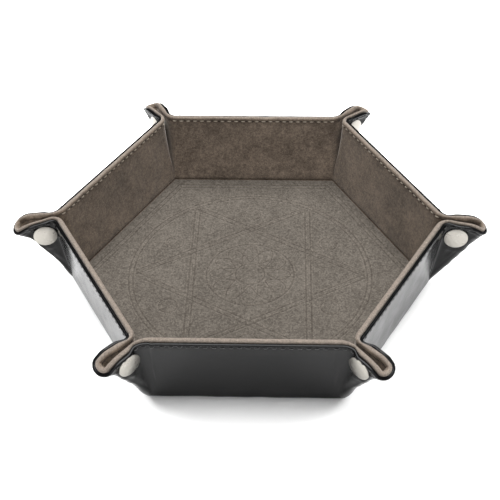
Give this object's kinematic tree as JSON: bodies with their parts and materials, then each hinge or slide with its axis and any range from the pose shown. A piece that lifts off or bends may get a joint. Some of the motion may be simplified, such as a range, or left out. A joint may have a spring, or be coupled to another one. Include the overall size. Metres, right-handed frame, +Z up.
{
  "type": "dice tray",
  "caption": "Folding hexagonal dice tray: smooth leather-like cover outside, velvet lining inside, stiff boards between, walls held up by snapped corner ears.",
  "frame": {"origin": "centre of the underside, on the surface that the tray stands on", "axes": "+Z up out of the tray, -Y towards the front wall, +X towards the right corner"},
  "size_m": [0.2421, 0.2102, 0.046],
  "materials": {
    "cover": "smooth black leather-like sheet, semi-gloss with a fine grain",
    "velvet": "matt taupe short-pile velvet with an embossed floor",
    "board": "raw grey board",
    "snap_metal": "satin nickel"
  },
  "bodies": {
    "floor": {"floor_cover": "cover", "floor_board": "board", "floor_lining": "velvet"},
    "front_wall": {"front_wall_cover": "cover", "front_wall_board": "board", "front_wall_lining": "velvet"},
    "front_right_wall": {"front_right_wall_cover": "cover", "front_right_wall_board": "board", "front_right_wall_lining": "velvet"},
    "back_right_wall": {"back_right_wall_cover": "cover", "back_right_wall_board": "board", "back_right_wall_lining": "velvet"},
    "back_wall": {"back_wall_cover": "cover", "back_wall_board": "board", "back_wall_lining": "velvet"},
    "back_left_wall": {"back_left_wall_cover": "cover", "back_left_wall_board": "board", "back_left_wall_lining": "velvet"},
    "front_left_wall": {"front_left_wall_cover": "cover", "front_left_wall_board": "board", "front_left_wall_lining": "velvet"},
    "front_right_ear_socket_side": {"front_right_ear_socket_half": "cover", "front_right_cap_socket_side": "snap_metal", "front_right_snap_socket": "snap_metal"},
    "front_right_ear_stud_side": {"front_right_ear_stud_half": "cover", "front_right_cap_stud_side": "snap_metal", "front_right_snap_stud": "snap_metal"},
    "right_ear_socket_side": {"right_ear_socket_half": "cover", "right_cap_socket_side": "snap_metal", "right_snap_socket": "snap_metal"},
    "right_ear_stud_side": {"right_ear_stud_half": "cover", "right_cap_stud_side": "snap_metal", "right_snap_stud": "snap_metal"},
    "back_right_ear_socket_side": {"back_right_ear_socket_half": "cover", "back_right_cap_socket_side": "snap_metal", "back_right_snap_socket": "snap_metal"},
    "back_right_ear_stud_side": {"back_right_ear_stud_half": "cover", "back_right_cap_stud_side": "snap_metal", "back_right_snap_stud": "snap_metal"},
    "back_left_ear_socket_side": {"back_left_ear_socket_half": "cover", "back_left_cap_socket_side": "snap_metal", "back_left_snap_socket": "snap_metal"},
    "back_left_ear_stud_side": {"back_left_ear_stud_half": "cover", "back_left_cap_stud_side": "snap_metal", "back_left_snap_stud": "snap_metal"},
    "left_ear_socket_side": {"left_ear_socket_half": "cover", "left_cap_socket_side": "snap_metal", "left_snap_socket": "snap_metal"},
    "left_ear_stud_side": {"left_ear_stud_half": "cover", "left_cap_stud_side": "snap_metal", "left_snap_stud": "snap_metal"},
    "front_left_ear_socket_side": {"front_left_ear_socket_half": "cover", "front_left_cap_socket_side": "snap_metal", "front_left_snap_socket": "snap_metal"},
    "front_left_ear_stud_side": {"front_left_ear_stud_half": "cover", "front_left_cap_stud_side": "snap_metal", "front_left_snap_stud": "snap_metal"}
  },
  "joints": [
    {"name": "front_wall_fold", "type": "hinge", "parent": "floor", "child": "front_wall", "pos_m": [0, -0.08227, 0.0038], "axis": [1, 0, 0], "range_deg": [0, 83.6]},
    {"name": "front_right_wall_fold", "type": "hinge", "parent": "floor", "child": "front_right_wall", "pos_m": [0.07125, -0.04114, 0.0038], "axis": [0.5, 0.866, 0], "range_deg": [0, 83.6]},
    {"name": "back_right_wall_fold", "type": "hinge", "parent": "floor", "child": "back_right_wall", "pos_m": [0.07125, 0.04114, 0.0038], "axis": [-0.5, 0.866, 0], "range_deg": [0, 83.6]},
    {"name": "back_wall_fold", "type": "hinge", "parent": "floor", "child": "back_wall", "pos_m": [0, 0.08227, 0.0038], "axis": [-1, 0, 0], "range_deg": [0, 83.6]},
    {"name": "back_left_wall_fold", "type": "hinge", "parent": "floor", "child": "back_left_wall", "pos_m": [-0.07125, 0.04114, 0.0038], "axis": [-0.5, -0.866, 0], "range_deg": [0, 83.6]},
    {"name": "front_left_wall_fold", "type": "hinge", "parent": "floor", "child": "front_left_wall", "pos_m": [-0.07125, -0.04114, 0.0038], "axis": [0.5, -0.866, 0], "range_deg": [0, 83.6]},
    {"name": "front_right_ear_socket_fold", "type": "hinge", "parent": "front_wall", "child": "front_right_ear_socket_side", "pos_m": [0.0475, -0.08227, 0.0038], "axis": [0.0642, -0.1112, 0.9917], "range_deg": [0, 45.22]},
    {"name": "front_right_ear_stud_fold", "type": "hinge", "parent": "front_right_wall", "child": "front_right_ear_stud_side", "pos_m": [0.0475, -0.08227, 0.0038], "axis": [-0.0642, 0.1112, -0.9917], "range_deg": [0, 75.22]},
    {"name": "right_ear_socket_fold", "type": "hinge", "parent": "front_right_wall", "child": "right_ear_socket_side", "pos_m": [0.095, 0, 0.0038], "axis": [0.1284, 0, 0.9917], "range_deg": [0, 64.22]},
    {"name": "right_ear_stud_fold", "type": "hinge", "parent": "back_right_wall", "child": "right_ear_stud_side", "pos_m": [0.095, 0, 0.0038], "axis": [-0.1284, 0, -0.9917], "range_deg": [0, 56.22]},
    {"name": "back_right_ear_socket_fold", "type": "hinge", "parent": "back_right_wall", "child": "back_right_ear_socket_side", "pos_m": [0.0475, 0.08227, 0.0038], "axis": [0.0642, 0.1112, 0.9917], "range_deg": [0, 74.22]},
    {"name": "back_right_ear_stud_fold", "type": "hinge", "parent": "back_wall", "child": "back_right_ear_stud_side", "pos_m": [0.0475, 0.08227, 0.0038], "axis": [-0.0642, -0.1112, -0.9917], "range_deg": [0, 46.22]},
    {"name": "back_left_ear_socket_fold", "type": "hinge", "parent": "back_wall", "child": "back_left_ear_socket_side", "pos_m": [-0.0475, 0.08227, 0.0038], "axis": [-0.0642, 0.1112, 0.9917], "range_deg": [0, 58.22]},
    {"name": "back_left_ear_stud_fold", "type": "hinge", "parent": "back_left_wall", "child": "back_left_ear_stud_side", "pos_m": [-0.0475, 0.08227, 0.0038], "axis": [0.0642, -0.1112, -0.9917], "range_deg": [0, 62.22]},
    {"name": "left_ear_socket_fold", "type": "hinge", "parent": "back_left_wall", "child": "left_ear_socket_side", "pos_m": [-0.095, 0, 0.0038], "axis": [-0.1284, 0, 0.9917], "range_deg": [0, 48.22]},
    {"name": "left_ear_stud_fold", "type": "hinge", "parent": "front_left_wall", "child": "left_ear_stud_side", "pos_m": [-0.095, 0, 0.0038], "axis": [0.1284, 0, -0.9917], "range_deg": [0, 72.22]},
    {"name": "front_left_ear_socket_fold", "type": "hinge", "parent": "front_left_wall", "child": "front_left_ear_socket_side", "pos_m": [-0.0475, -0.08227, 0.0038], "axis": [-0.0642, -0.1112, 0.9917], "range_deg": [0, 75.22]},
    {"name": "front_left_ear_stud_fold", "type": "hinge", "parent": "front_wall", "child": "front_left_ear_stud_side", "pos_m": [-0.0475, -0.08227, 0.0038], "axis": [0.0642, 0.1112, -0.9917], "range_deg": [0, 45.22]}
  ],
  "couplings": [
    {"joint": "front_right_wall_fold", "follows": "front_wall_fold", "ratio": 1},
    {"joint": "back_right_wall_fold", "follows": "front_wall_fold", "ratio": 1},
    {"joint": "back_wall_fold", "follows": "front_wall_fold", "ratio": 1},
    {"joint": "back_left_wall_fold", "follows": "front_wall_fold", "ratio": 1},
    {"joint": "front_left_wall_fold", "follows": "front_wall_fold", "ratio": 1},
    {"joint": "front_right_ear_socket_fold", "follows": "front_wall_fold", "ratio": 0.54074},
    {"joint": "front_right_ear_stud_fold", "follows": "front_wall_fold", "ratio": 0.89959},
    {"joint": "right_ear_socket_fold", "follows": "front_wall_fold", "ratio": 0.76801},
    {"joint": "right_ear_stud_fold", "follows": "front_wall_fold", "ratio": 0.67232},
    {"joint": "back_right_ear_socket_fold", "follows": "front_wall_fold", "ratio": 0.88763},
    {"joint": "back_right_ear_stud_fold", "follows": "front_wall_fold", "ratio": 0.5527},
    {"joint": "back_left_ear_socket_fold", "follows": "front_wall_fold", "ratio": 0.69624},
    {"joint": "back_left_ear_stud_fold", "follows": "front_wall_fold", "ratio": 0.74409},
    {"joint": "left_ear_socket_fold", "follows": "front_wall_fold", "ratio": 0.57663},
    {"joint": "left_ear_stud_fold", "follows": "front_wall_fold", "ratio": 0.86371},
    {"joint": "front_left_ear_socket_fold", "follows": "front_wall_fold", "ratio": 0.89959},
    {"joint": "front_left_ear_stud_fold", "follows": "front_wall_fold", "ratio": 0.54074}
  ]
}
